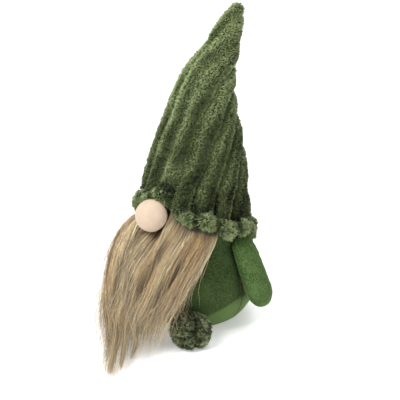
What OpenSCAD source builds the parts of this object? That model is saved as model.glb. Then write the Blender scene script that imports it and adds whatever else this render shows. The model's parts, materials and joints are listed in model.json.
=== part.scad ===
// Tomte gnome: a weighted plush figure with a tall ribbed hat, a fur beard, two hanging arms and two feet.
// Millimetres. +Z is up, the gnome faces -Y, its left is +X, and its base is centred on the origin at Z = 0.

/* [Body] */
// Radius of the flat base panel
base_r = 30; // [24:1:38]
// Radius of the belly at its widest
belly_r = 61.5; // [54:0.5:74]
// Height of the widest part of the belly
belly_z = 40; // [34:1:48]
// Radius of the body where the hat sits
neck_r = 47; // [42:0.5:50]
// Height of the neck
neck_z = 103; // [92:1:124]
// Height of the top of the head, inside the hat
crown_z = 148; // [136:1:160]
// Radius of the gathered hole at the crown
crown_hole_r = 4; // [3:0.5:8]
// Thickness of the velour and its pile
velour_t = 1.6; // [1:0.1:2.5]

/* [Weight] */
// Thickness of the card disc in the base
card_t = 2; // [1:0.5:4]
// How far the card disc stays inside the base panel's edge
card_margin = 3; // [1:0.5:6]
// Height of the weight pouch
pouch_h = 30; // [20:1:40]
// Thickness of the pouch's cotton
pouch_t = 0.8; // [0.5:0.1:1.5]

/* [Hat] */
// Length of the hat along its middle line, from the brim to the tip
hat_length = 214; // [170:1:260]
// How far the foot of the hat stands inside the brim's middle line
hat_inset = 5.5; // [3:0.5:6]
// Radius of the blunt tip
hat_tip_r = 6; // [4:0.5:10]
// Thickness of the ribbed plush and its pile
plush_t = 3; // [2:0.5:4]
// Lean of the hat's lower half, in degrees from upright
hat_lean_low = 5; // [0:1:10]
// Lean of the hat's top, in degrees from upright
hat_lean_top = 40; // [10:1:50]

/* [Brim] */
// Clearance between the brim and the body at the back of the neck
brim_ease = 0.5; // [0.3:0.1:4]
// Height of the brim's middle
brim_z = 110; // [105:1:125]
// How much higher the brim is in front than in the middle
brim_rise = 22.7; // [10:0.1:28]
// Radius of the gathered roll
brim_roll_r = 7; // [5.5:0.1:8.5]
// How deep the gathers are
brim_gather = 0.8; // [0:0.1:1]
// Number of gathers round the brim
brim_gathers = 18; // [12:1:24]
// Thickness of the gathering cord
brim_cord_d = 1.8; // [1:0.1:2]

/* [Nose] */
// Radius of the nose
nose_r = 16; // [12:0.1:19.5]
// Thickness of the nose's jersey skin
nose_skin_t = 0.9; // [0.5:0.1:1.5]
// How far the back of the nose stands off the neck
nose_stand = 3; // [2:0.5:6]
// Height of the nose's centre
nose_z = 129.5; // [126:0.5:136]
// Radius of the tied tail behind the nose
nose_tail_r = 3; // [2:0.5:4]

/* [Beard] */
// Half angle of the beard at its top, in degrees from the front
beard_half = 70; // [64:1:72]
// Thickness of the knitted backing
backing_t = 1.2; // [0.8:0.1:2]
// Height of the backing's lowest point
backing_tip_z = 50; // [45:1:70]
// Fullness of the fur: 1 is a thick winter beard
fur_depth = 1; // [0.7:0.05:1.1]
// How far the end of the beard lies in front of the belly
beard_reach = 94.5; // [74:0.5:110]
// Turn of the beard's end towards the gnome's left, in degrees
beard_turn = 12; // [0:1:14]

/* [Arms] */
// Distance from the shoulder to the centre of the hand
arm_length = 53; // [44:1:58]
// Half width of the arm, front to back
arm_w = 15.5; // [12.5:0.1:19]
// Half thickness of the arm
arm_t = 10.5; // [8:0.5:11]
// Half thickness of the arm's flat sewn top
arm_end_t = 4; // [2.5:0.5:6]
// Angle between the hanging arm and the side of the belly, in degrees
arm_open = 10.5; // [8:0.5:20]
// Distance of the shoulder behind the body's axis
shoulder_y = 8; // [0:1:12]
// Height of the shoulder
shoulder_z = 92; // [86:1:93]
// Radius of the bundle of thread that holds the arm
arm_thread_r = 3.5; // [2:0.5:5]
// Length of the bundle of thread
arm_thread_l = 3.2; // [2:0.2:5]

/* [Feet] */
// Half length of a foot
foot_l = 18; // [15:1:22]
// Half width of a foot
foot_w = 20; // [16:0.1:24]
// Height of a foot's middle line
foot_z = 16; // [14:0.5:18]
// Height of a foot's top above its middle line
foot_h = 19.5; // [16:0.5:22]
// Angle of the left foot from the front, in degrees
left_foot_angle = 37; // [36:1:44]
// Angle of the right foot from the front, in degrees
right_foot_angle = 31; // [30:1:44]

/* [Fit] */
// Clearance between a cover and what fills it
fill_gap = 0.3; // [0.2:0.05:0.6]
// Clearance between pieces that are sewn side by side
seam_gap = 0.15; // [0.1:0.05:0.3]
// Clearance round a piece that can move
move_gap = 0.5; // [0.3:0.1:0.8]

/* [Hidden] */

velour_green = [0.16, 0.33, 0.12];
plush_green = [0.27, 0.37, 0.19];
skin_pink = [0.93, 0.78, 0.67];
fur_tan = [0.62, 0.51, 0.34];
fibre_white = [0.93, 0.93, 0.9];
thread_green = [0.2, 0.28, 0.14];

brim_roll_max = brim_roll_r + brim_gather;
brim_r = wall_r(brim_z - brim_rise - 2) + brim_ease + brim_roll_max;
hat_r = brim_r - hat_inset;
brim_slope = brim_rise / hat_r;
hat_start = sqrt(pow(brim_roll_max + seam_gap, 2) - pow(brim_r - hat_r, 2));
cord_x = hat_r + brim_cord_d / 2 + 2 * seam_gap - brim_r;
cord_up = sqrt(pow(brim_roll_max + brim_cord_d / 2 + 2 * seam_gap, 2) - cord_x * cord_x);
card_z = velour_t + fill_gap;
pouch_z = card_z + card_t + fill_gap;
pouch_top = pouch_z + pouch_h;
nose_y = neck_r + nose_stand + nose_r;
nose_reach = nose_r + brim_roll_r / 2 + brim_gather + seam_gap;
nose_lift = nose_z + sqrt(pow(nose_reach, 2) - pow(nose_y - brim_r, 2)) - brim_z - brim_rise;
nose_lift_width = 1.85 * asin(nose_r / nose_y);
tie_r = 0.8;
tail_end = nose_y - body_r(nose_z - nose_tail_r) - fill_gap;
arm_out = atan((belly_r - wall_r(shoulder_z)) / (shoulder_z - belly_z)) + arm_open;
thread_x = wall_x(shoulder_z - arm_thread_r, max(0, shoulder_y - arm_thread_r)) + move_gap;
shoulder_x = thread_x + arm_thread_l + move_gap + arm_end_t * cos(arm_out);
foot_mid = 3 * move_gap
    + max([for (z = [foot_z:foot_z + foot_h]) body_r(z) + foot_l * quarter((z - foot_z) / foot_h)]);
foot_side = asin(foot_w / foot_mid) + 1.5;
between_feet = (left_foot_angle + right_foot_angle) / 2 - foot_side;
between_turn = (left_foot_angle - right_foot_angle) / 2;
foot_lifted = foot_z + foot_h + 0.45 * foot_l;
beard_end = belly_r + beard_reach;

// Radius of the body's outer face at height z, or of a face that lies inset inside it
function body_r(z, inset = 0) = let (belly = belly_r - inset, neck = neck_r - inset)
    z <= belly_z ? base_r + (belly - base_r) * quarter((belly_z - z) / (belly_z - inset))
    : z <= neck_z ? neck + (belly_r - neck_r) * (1 + cos(180 * (z - belly_z) / (neck_z - belly_z))) / 2
    : neck * quarter((z - neck_z) / (crown_z - inset - neck_z));
function quarter(t) = sqrt(max(0, 1 - t * t));

// Radius that a fabric hanging from the neck follows: it doesn't turn in with the head
function wall_r(z) = body_r(min(z, neck_z));

// Distance of the body's side from its middle plane at height z and depth y
function wall_x(z, y) = sqrt(pow(wall_r(z), 2) - y * y);

// Outline of the body from the base to the crown, at a depth inside its outer face
function body_outline(inset = 0) = let (
    belly = belly_r - inset,
    neck = neck_r - inset,
    dome = crown_z - inset - neck_z,
    last = acos(crown_hole_r / neck)) [
    for (t = [0:7.5:90]) [base_r + (belly - base_r) * sin(t), inset + (belly_z - inset) * (1 - cos(t))],
    for (s = [0.1:0.1:1]) let (z = belly_z + s * (neck_z - belly_z)) [body_r(z, inset), z],
    for (s = [0.1:0.1:1]) [neck * cos(s * last), neck_z + dome * sin(s * last)]
];

// Part of that outline between two heights
function outline_between(low, high, inset) = [
    [body_r(low, inset), low],
    for (p = body_outline(inset)) if (p[1] > low + 1 && p[1] < high - 1) p,
    [body_r(high, inset), high]
];

// A point at radius r and height z, at an angle from the front towards the gnome's left
function around(a, r, z) = [r * sin(a), -r * cos(a), z];

function reversed(list) = [for (i = [len(list) - 1:-1:0]) list[i]];

// Height of the brim's middle line at an angle from the front, lifted where it crosses the nose
function brim_height(a) = brim_z + brim_rise * cos(a) + nose_lift_at(a);
function nose_lift_at(a) = nose_lift * exp(-pow(near_front(a) / nose_lift_width, 2));
function near_front(a) = a > 180 ? a - 360 : a;

// The hat leans further back above its middle. Its line is a list of short straight steps, as [y, z] points.
hat_steps = 14;
hat_step = hat_length / hat_steps;
function hat_lean(s) = let (t = min(1, max(0, (s - 0.48) / 0.26)))
    hat_lean_low + (hat_lean_top - hat_lean_low) * t * t * (3 - 2 * t);
function hat_line(k) = k == 0 ? [0, brim_z + hat_start]
    : let (lean = hat_lean((k - 0.5) / hat_steps)) hat_line(k - 1) + hat_step * [sin(lean), cos(lean)];
function hat_radius(s) = hat_tip_r + (hat_r - hat_tip_r) * (1 - pow(s, 1.5));

// One ring of the hat, at step k, with its radius made smaller by inset. The lowest rings lie along the brim.
function hat_ring(k, inset = 0, sides = 36) = let (
    s = k / hat_steps,
    c = hat_line(k),
    r = hat_radius(s) - inset,
    low = max(0, 1 - s / 0.3),
    slope = brim_slope * low + tan(hat_lean(s)) * (1 - low),
    depth = low + cos(hat_lean(s)) * (1 - low)) [
    for (i = [0:sides - 1]) let (a = i * 360 / sides, y = r * cos(a) * depth)
        [r * sin(a), c[0] - y, c[1] + y * slope + nose_lift_at(a) * max(0, 1 - s / 0.15)]
];

// The rounded end of the hat, beyond its last ring
function hat_end() = let (c = hat_line(hat_steps), t = hat_lean(1), out = 0.6 * hat_tip_r) [
    for (p = hat_ring(hat_steps))
        [0.6 * p[0], c[0] + 0.6 * (p[1] - c[0]) + out * sin(t), c[1] + 0.6 * (p[2] - c[1]) + out * cos(t)]
];

// A closed skin over a list of rings, with a strip of triangles across the first and the last
module skin(rings) {
    n = len(rings[0]);
    last = (len(rings) - 1) * n;
    end = last + n - 1;
    polyhedron(points = [for (ring = rings) each ring], faces = [
        for (i = [0:n / 2 - 2]) each [[n - 2 - i, i + 1, i], [n - 1 - i, n - 2 - i, i]],
        for (k = [0:len(rings) - 2], i = [0:n - 1]) let (a = k * n + i, b = k * n + (i + 1) % n)
            each [[a, b, b + n], [a, b + n, a + n]],
        for (i = [0:n / 2 - 2]) each [[last + i, last + i + 1, end - 1 - i], [last + i, end - 1 - i, end - i]]
    ]);
}

// A closed skin over rings that come back to where they began
module loop_skin(rings) {
    n = len(rings[0]);
    m = len(rings);
    polyhedron(points = [for (ring = rings) each ring], faces = [
        for (k = [0:m - 1], i = [0:n - 1])
            let (a = k * n + i, b = k * n + (i + 1) % n, up = k == m - 1 ? -k * n : n)
                each [[a, b, b + up], [a, b + up, a + up]]
    ]);
}

// The wall of half the body, turned so that it faces away from its own seam
module body_half(turn) {
    seam_turn = asin(seam_gap / 2 / belly_r);
    rotate([0, 0, turn + seam_turn]) rotate_extrude(angle = 180 - 2 * seam_turn, $fn = 96)
        polygon(concat(body_outline(), reversed(body_outline(velour_t))));
}

module body_front_panel() { color(velour_green) body_half(180); }

module body_back_panel() { color(velour_green) body_half(0); }

module base_panel() { color(velour_green) cylinder(r = base_r - seam_gap, h = velour_t, $fn = 96); }

module base_card() {
    color("tan") translate([0, 0, card_z]) cylinder(r = base_r - card_margin, h = card_t, $fn = 96);
}

// The pouch is open at the top, where its neck is tied
module weight_pouch() {
    cover = velour_t + fill_gap;
    inner_top = pouch_top - pouch_t;
    color("ivory") rotate_extrude($fn = 96) polygon(concat(
        [[0, pouch_z]],
        outline_between(pouch_z, pouch_top, cover),
        [[crown_hole_r, pouch_top], [crown_hole_r, inner_top]],
        reversed(outline_between(pouch_z + pouch_t, inner_top, cover + pouch_t)),
        [[0, pouch_z + pouch_t]]));
}

module weight_pellets() {
    low = pouch_z + pouch_t + fill_gap;
    high = pouch_top - pouch_t - fill_gap;
    color("gray") rotate_extrude($fn = 96) polygon(concat(
        [[0, low]], outline_between(low, high, velour_t + pouch_t + 2 * fill_gap), [[0, high]]));
}

module body_stuffing() {
    cover = velour_t + fill_gap;
    low = pouch_top + fill_gap;
    top = crown_z - cover - 1;
    color(fibre_white) rotate_extrude($fn = 96)
        polygon(concat([[0, low]], outline_between(low, top, cover), [[0, top]]));
}

// Thread drawn round the gathered top of the head
module crown_tie() {
    color(thread_green) translate([0, 0, crown_z - velour_t / 2 + 1.2])
        rotate_extrude($fn = 48) translate([crown_hole_r - tie_r - seam_gap, 0]) circle(r = tie_r, $fn = 24);
}

module hat_shell() {
    color(plush_green) skin(reversed(concat(
        [for (k = [hat_steps - 1:-1:0]) hat_ring(k, plush_t)],
        [for (k = [0:hat_steps]) hat_ring(k)],
        [hat_end()])));
}

// The stuffing begins just above the head
module hat_stuffing() {
    first = ceil((crown_z + 6 - brim_z - hat_start) * hat_steps / hat_length);
    color(fibre_white) skin([for (k = [hat_steps - 2:-1:first]) hat_ring(k, plush_t + fill_gap)]);
}

// A ring of tube round the brim: its radius at each angle, and where its middle lies from the brim's own line
module brim_ring(steps, sides, out, up) {
    loop_skin([for (k = [0:steps - 1]) let (a = k * 360 / steps, t = $tube(a)) [
        for (i = [0:sides - 1]) let (b = i * 360 / sides, r = brim_r + out + t * cos(b))
            [r * sin(a), -r * cos(a), brim_height(a) + up + t * sin(b)]
    ]]);
}

module brim_ruffle() {
    $tube = function(a)
        brim_roll_r * (1 - 0.5 * nose_lift_at(a) / nose_lift) + brim_gather * cos(brim_gathers * a);
    color(plush_green) brim_ring(4 * brim_gathers, 8, 0, 0);
}

// The cord that gathers the hat lies in the groove between the hat and the roll
module brim_gather_cord() {
    $tube = function(a) brim_cord_d / 2;
    color(thread_green)
        brim_ring(48, 6, cord_x, cord_up);
}

// The backing is a bib that hangs from under the brim to a point in front
module beard_backing() {
    sides = 20;
    rows = 8;
    color(fur_tan) skin([for (k = [sides:-1:0]) let (
        a = beard_half * (2 * k / sides - 1),
        top = min(brim_height(a), nose_z) - brim_roll_max - move_gap - 1,
        edge = brim_height(beard_half) - brim_roll_max - 8,
        low = backing_tip_z + (edge - backing_tip_z) * abs(a) / beard_half) [
        for (i = [0:rows]) backing_point(a, top + (low - top) * i / rows, backing_t),
        for (i = [rows:-1:0]) backing_point(a, top + (low - top) * i / rows, 0)
    ]]);
}

function backing_point(a, z, out) = around(a, wall_r(z) + backing_gap + out, z);

// Stations down the beard: height of its back, half angle, depth of the fur, rise of its front over its back,
// and turn towards the gnome's left.
// Below the belly the fur hangs clear of it, and its end lies on the ground between the feet.
backing_gap = 2 * fill_gap;
fur_gap = backing_gap + backing_t + 3 * fill_gap;
fur_stations = [
    [102, beard_half + 2, 12, 3, 0],
    [90, 64, 20, 3, 0],
    [78, 57, 24, 4, 0],
    [66, 48, 27, 5, 0],
    [56, 40, 32, 7, 0],
    [foot_lifted + 3.5, 33, 38, 8, 0],
    [foot_lifted - 2.5, between_feet, 42, 6, between_turn],
    [31, between_feet, 42, 7, between_turn],
    [17, between_feet - 1, 42, 9, between_turn]
];
function fur_back_r(z) =
    z > belly_z ? wall_r(z) + fur_gap : belly_r + fur_gap + (belly_z - z) * 0.45;
function fur_top(a) = let (side = min(1, max(0, (abs(a) - 12) / 12)), low = nose_z - nose_r - 2)
    low + (brim_height(a) - brim_roll_max - 2.5 - low) * side;

// One cross-section of the fur: its front arc, thinner towards the sides, and then its back arc
fur_arc = 15;
function fur_ring(half, back_r, back_z, front_r, front_z, turn = 0) = [
    for (i = [0:fur_arc]) let (u = 2 * i / fur_arc - 1, full = 1 - 0.45 * pow(abs(u), 3))
        around(half * u + turn, back_r + (front_r - back_r) * full, back_z + (front_z - back_z) * full),
    for (i = [fur_arc:-1:0]) around(half * (2 * i / fur_arc - 1) + turn, back_r, back_z)
];

// The top of the fur follows the brim and dips under the nose
function fur_top_ring() = let (
    near = fur_back_r(neck_z),
    angles = [for (i = [0:fur_arc]) beard_half * (2 * i / fur_arc - 1)]) [
    for (a = angles) around(a, near + 8, fur_top(a)),
    for (a = reversed(angles)) around(a, near, fur_top(a))
];

module beard_fur() {
    rest = 1;
    color(fur_tan) skin(concat(
        [fur_top_ring()],
        [for (s = fur_stations) let (r = fur_back_r(s[0]))
            fur_ring(s[1], r, s[0], r + s[2] * fur_depth, s[0] + s[3], s[4])],
        [
            fur_ring(min(14, between_feet - 2), beard_end - 71, 6, beard_end - 33, 17, beard_turn * 0.35),
            fur_ring(10, beard_end - 52, 1.5 * rest, beard_end - 22, 11, beard_turn * 0.6),
            fur_ring(6, beard_end - 30, rest, beard_end - 11, 7.5, beard_turn * 0.85),
            fur_ring(2.5, beard_end - 10, rest, beard_end, 4, beard_turn)
        ]));
}

module nose_cover() {
    inner = nose_r - nose_skin_t;
    color(skin_pink) translate([0, -nose_y, nose_z]) difference() {
        union() {
            sphere(r = nose_r, $fn = 96);
            rotate([-90, 0, 0]) cylinder(r = nose_tail_r, h = tail_end, $fn = 48);
        }
        sphere(r = inner, $fn = 96);
        rotate([-90, 0, 0]) cylinder(r = nose_tail_r - nose_skin_t, h = tail_end + 1, $fn = 48);
    }
}

module nose_ball() {
    color("white") translate([0, -nose_y, nose_z]) sphere(r = nose_r - nose_skin_t - fill_gap, $fn = 96);
}

// Thread wound round the tail behind the nose
module nose_tie() {
    color("ivory") translate([0, nose_r + tie_r + seam_gap - nose_y, nose_z]) rotate([-90, 0, 0])
        rotate_extrude($fn = 48) translate([nose_tail_r + tie_r + seam_gap, 0]) circle(r = tie_r, $fn = 24);
}

// Rings of an arm that hangs from the shoulder: s runs from 0 at the seam to 1 at the fingertips
arm_steps = 11;
arm_full = arm_length + arm_w;
function arm_round(s) = let (d = arm_full * (1 - s)) d >= arm_w ? 1 : max(0.03, quarter(1 - d / arm_w));
function arm_ring(s, inset, sides = 20) = let (
    w = (arm_w - 3 * pow(1 - s, 3)) * arm_round(s) - inset,
    t = (arm_t - (arm_t - arm_end_t) * pow(1 - s, 4)) * arm_round(s) - inset,
    along = arm_full * s) [
    for (i = [0:sides - 1]) let (b = i * 360 / sides, across = t * cos(b))
        [across * cos(arm_out) + along * sin(arm_out), w * sin(b), across * sin(arm_out) - along * cos(arm_out)]
];
function arm_stations(last) = [for (k = [0:arm_steps]) last * (1 - pow(1 - k / arm_steps, 1.6))];

module arm_shell() {
    color(velour_green) skin(concat(
        [for (s = reversed(arm_stations(0.97))) arm_ring(s, velour_t)],
        [for (s = arm_stations(0.999)) arm_ring(s, 0)]));
}

module arm_stuffing() {
    inner = arm_stations(0.97);
    color(fibre_white) skin([for (k = [0:arm_steps - 1]) arm_ring(inner[k], velour_t + 2 * fill_gap)]);
}

// The bundle of thread between the body's side and the top of the arm
module arm_thread() {
    color(thread_green) translate([thread_x, 0, 0]) rotate([0, 90, 0])
        cylinder(r = arm_thread_r, h = arm_thread_l, $fn = 48);
}

module at_shoulder(side) {
    mirror([side < 0 ? 1 : 0, 0, 0]) translate([shoulder_x, shoulder_y, shoulder_z]) children();
}

module at_shoulder_side(side) {
    mirror([side < 0 ? 1 : 0, 0, 0]) translate([0, shoulder_y, shoulder_z]) children();
}

module left_arm_thread() { at_shoulder_side(1) arm_thread(); }
module left_arm_shell() { at_shoulder(1) arm_shell(); }
module left_arm_stuffing() { at_shoulder(1) arm_stuffing(); }
module right_arm_thread() { at_shoulder_side(-1) arm_thread(); }
module right_arm_shell() { at_shoulder(-1) arm_shell(); }
module right_arm_stuffing() { at_shoulder(-1) arm_stuffing(); }

// Rings of a foot: u runs from -1 at the seam to 1 at the toe, and the underside is flat on the ground
foot_steps = 10;
function foot_ring(u, inset, sides = 20) = let (f = max(0.045, quarter(u)), lw = foot_l - inset) [
    for (i = [0:sides - 1]) let (b = i * 360 / sides)
        [(foot_w - inset) * f * cos(b), -lw * u, max(inset, foot_z + (foot_h - inset) * f * sin(b))]
];
function foot_stations(first, last) = [for (k = [0:foot_steps]) sin(first + (last - first) * k / foot_steps)];

module foot_shell() {
    color(plush_green) skin(reversed(concat(
        [for (u = reversed(foot_stations(-64, 86))) foot_ring(u, plush_t)],
        [for (u = foot_stations(-68, 88)) foot_ring(u, 0)])));
}

module foot_stuffing() {
    inner = foot_stations(-64, 86);
    color(fibre_white) skin([for (k = [foot_steps - 1:-1:0]) foot_ring(inner[k], plush_t + 2 * fill_gap)]);
}

module at_foot(angle) {
    rotate([0, 0, angle]) translate([0, -foot_mid, 0]) children();
}

module left_foot_shell() { at_foot(left_foot_angle) foot_shell(); }
module left_foot_stuffing() { at_foot(left_foot_angle) foot_stuffing(); }
module right_foot_shell() { at_foot(-right_foot_angle) foot_shell(); }
module right_foot_stuffing() { at_foot(-right_foot_angle) foot_stuffing(); }

body_front_panel();
body_back_panel();
base_panel();
base_card();
weight_pouch();
weight_pellets();
body_stuffing();
crown_tie();
hat_shell();
hat_stuffing();
brim_ruffle();
brim_gather_cord();
beard_backing();
beard_fur();
nose_cover();
nose_ball();
nose_tie();
left_arm_thread();
left_arm_shell();
left_arm_stuffing();
right_arm_thread();
right_arm_shell();
right_arm_stuffing();
left_foot_shell();
left_foot_stuffing();
right_foot_shell();
right_foot_stuffing();
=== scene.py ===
"""A plush gnome with a tall ribbed hat, a fur beard, hanging arms and soft feet.

Lengths in the shaping code are millimetres and angles are degrees. An angle round the gnome is
counted from its front (-Y) towards its own left (+X)."""
import json
import math

import bpy
import numpy as np
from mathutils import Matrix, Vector


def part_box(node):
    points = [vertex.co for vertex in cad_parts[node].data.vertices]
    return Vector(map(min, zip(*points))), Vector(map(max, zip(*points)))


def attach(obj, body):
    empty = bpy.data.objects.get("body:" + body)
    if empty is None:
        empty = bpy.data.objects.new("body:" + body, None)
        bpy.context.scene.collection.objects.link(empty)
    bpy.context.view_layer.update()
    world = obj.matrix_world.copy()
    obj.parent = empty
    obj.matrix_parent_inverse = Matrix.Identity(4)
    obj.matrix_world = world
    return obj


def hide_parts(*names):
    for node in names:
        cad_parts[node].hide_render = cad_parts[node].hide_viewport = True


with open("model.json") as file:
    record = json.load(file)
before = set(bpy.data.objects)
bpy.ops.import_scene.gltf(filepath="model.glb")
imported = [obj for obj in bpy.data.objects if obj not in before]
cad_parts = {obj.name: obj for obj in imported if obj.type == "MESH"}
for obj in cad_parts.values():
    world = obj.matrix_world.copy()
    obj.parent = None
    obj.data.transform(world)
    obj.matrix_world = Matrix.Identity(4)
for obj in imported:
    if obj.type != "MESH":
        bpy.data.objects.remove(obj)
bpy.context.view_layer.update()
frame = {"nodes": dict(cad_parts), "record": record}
MM = 0.001
TAU = 2 * math.pi


# ---------------------------------------------------------------- small helpers
def soft(x):
    """An even step from 0 to 1."""
    x = np.clip(x, 0, 1)
    return x * x * (3 - 2 * x)


def bell(x, width):
    """A smooth bump, 1 where x is 0 and nearly 0 two widths away."""
    return np.exp(-((x / width) ** 2))


def cloudy(points, size, seed, waves=12):
    """Smooth patches about size across, roughly from -1 to 1, at any points."""
    rng = np.random.default_rng(seed)
    way = rng.normal(size=(waves, 3))
    way *= (TAU / size) * rng.uniform(0.6, 1.4, (waves, 1)) / np.linalg.norm(way, axis=1, keepdims=True)
    flat = np.asarray(points, float).reshape(-1, 3)
    value = np.sin(flat @ way.T + rng.uniform(0, TAU, waves)).sum(1) / math.sqrt(waves) * 0.9
    return value.reshape(np.shape(points)[:-1])


def linear(red, green, blue):
    """A colour as seen on screen, 0 to 255, in the light that a shader works in."""
    c = np.array([red, green, blue]) / 255
    return np.where(c < 0.04045, c / 12.92, ((c + 0.055) / 1.055) ** 2.4)


def unit(v):
    return v / np.maximum(np.linalg.norm(v, axis=-1, keepdims=True), 1e-9)


def polar(angle, radius, height):
    """Places at an angle round the gnome, a distance from its middle line and a height."""
    a = np.radians(angle)
    return np.stack(np.broadcast_arrays(radius * np.sin(a), -radius * np.cos(a), height), -1)


def turned(p, angle):
    """Places turned about the gnome's middle line."""
    c, s = math.cos(math.radians(angle)), math.sin(math.radians(angle))
    return np.stack([p[..., 0] * c - p[..., 1] * s, p[..., 0] * s + p[..., 1] * c, p[..., 2]], -1)


def middle(node):
    """The middle of a node, in millimetres."""
    low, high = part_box(node)
    return (np.array(low) + np.array(high)) / 2 / MM


def wake(ob):
    """Selects one piece alone and makes it the active one."""
    if bpy.context.mode != "OBJECT":
        bpy.ops.object.mode_set(mode="OBJECT")
    bpy.ops.object.select_all(action="DESELECT")
    ob.select_set(True)
    bpy.context.view_layer.objects.active = ob


def outward(ob):
    """Turns every face of a closed piece to face out."""
    wake(ob)
    bpy.ops.object.mode_set(mode="EDIT")
    bpy.ops.mesh.select_all(action="SELECT")
    bpy.ops.mesh.normals_make_consistent(inside=False)
    bpy.ops.object.mode_set(mode="OBJECT")


def build(name, points, faces, smooth=True):
    me = bpy.data.meshes.new(name)
    me.from_pydata((np.asarray(points, float).reshape(-1, 3) * MM).tolist(), [], faces)
    me.update()
    ob = bpy.data.objects.new(name, me)
    bpy.context.collection.objects.link(ob)
    me.polygons.foreach_set("use_smooth", [smooth] * len(me.polygons))
    return ob


def skin(name, rows):
    """A closed skin over rings of points, each ring joined to the next, and both ends closed."""
    m, n = rows.shape[:2]
    ring = np.arange(n)
    after = (ring + 1) % n
    faces = []
    for row in range(0, (m - 1) * n, n):
        faces += np.stack([row + ring, row + after, row + n + after, row + n + ring], 1).tolist()
    first, last = m * n, m * n + 1
    faces += np.stack([after, ring, np.full(n, first)], 1).tolist()
    faces += np.stack([(m - 1) * n + ring, (m - 1) * n + after, np.full(n, last)], 1).tolist()
    points = np.concatenate([rows.reshape(-1, 3), rows[:1].mean(1), rows[-1:].mean(1)])
    ob = build(name, points, faces)
    outward(ob)
    return ob


def open_grid(name, points, rows, columns):
    """An open sheet of faces over a grid of points."""
    return build(name, points, [
        [k * columns + i, k * columns + i + 1, (k + 1) * columns + i + 1, (k + 1) * columns + i]
        for k in range(rows - 1) for i in range(columns - 1)])


def corners(ob):
    """Where a piece's corners are, in millimetres."""
    co = np.empty(len(ob.data.vertices) * 3)
    ob.data.vertices.foreach_get("co", co)
    return co.reshape(-1, 3) / MM


def place(ob, points):
    ob.data.vertices.foreach_set("co", (np.asarray(points) * MM).ravel())
    ob.data.update()


def note(ob, name, values):
    """Keeps one number a corner on the piece, for its material to read."""
    kept = ob.data.attributes.new(name, "FLOAT", "POINT")
    kept.data.foreach_set("value", np.asarray(values, float).ravel())


def bake_turn(ob):
    """Puts a piece's place, turn and size into its mesh, and shades it smooth."""
    wake(ob)
    bpy.ops.object.transform_apply(location=True, rotation=True, scale=True)
    ob.data.polygons.foreach_set("use_smooth", [True] * len(ob.data.polygons))


def ball(name, segments, rings, **where):
    """A ball to shape. Its faces are listed anew, since their own order changes from run to run."""
    bpy.ops.mesh.primitive_uv_sphere_add(segments=segments, ring_count=rings, **where)
    ob = bpy.context.object
    ob.name = name
    points, faces = corners(ob) * MM, []
    for polygon in ob.data.polygons:
        loop = list(polygon.vertices)
        first = loop.index(min(loop))
        faces.append(loop[first:] + loop[:first])
    ob.data.clear_geometry()
    ob.data.from_pydata(points.tolist(), [], sorted(faces))
    bake_turn(ob)
    return ob


def apply(ob, kind, **settings):
    """Adds a modifier to a piece and works it into the mesh."""
    wake(ob)
    modifier = ob.modifiers.new("shape", kind)
    for key, value in settings.items():
        setattr(modifier, key, value)
    bpy.ops.object.modifier_apply(modifier=modifier.name)


# ---------------------------------------------------------------- pile and fur
def scatter(ob, count, seed, weight=None):
    """count places on a piece: where each is, which way the face looks, and the corners it lies between."""
    me = ob.data
    me.calc_loop_triangles()
    tri = np.empty(len(me.loop_triangles) * 3, int)
    me.loop_triangles.foreach_get("vertices", tri)
    tri = tri.reshape(-1, 3)
    co = corners(ob)
    nor = np.empty(len(co) * 3)
    me.vertices.foreach_get("normal", nor)
    nor = nor.reshape(-1, 3)
    a, b, c = co[tri[:, 0]], co[tri[:, 1]], co[tri[:, 2]]
    area = np.linalg.norm(np.cross(b - a, c - a), axis=1)
    if weight is not None:
        area = area * np.maximum(weight((a + b + c) / 3, tri), 0)
    rng = np.random.default_rng(seed)
    pick = tri[rng.choice(len(tri), count, p=area / area.sum())]
    share = rng.dirichlet((1, 1, 1), count)[..., None]
    return (co[pick] * share).sum(1), unit((nor[pick] * share).sum(1)), pick, share[..., 0]


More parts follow.
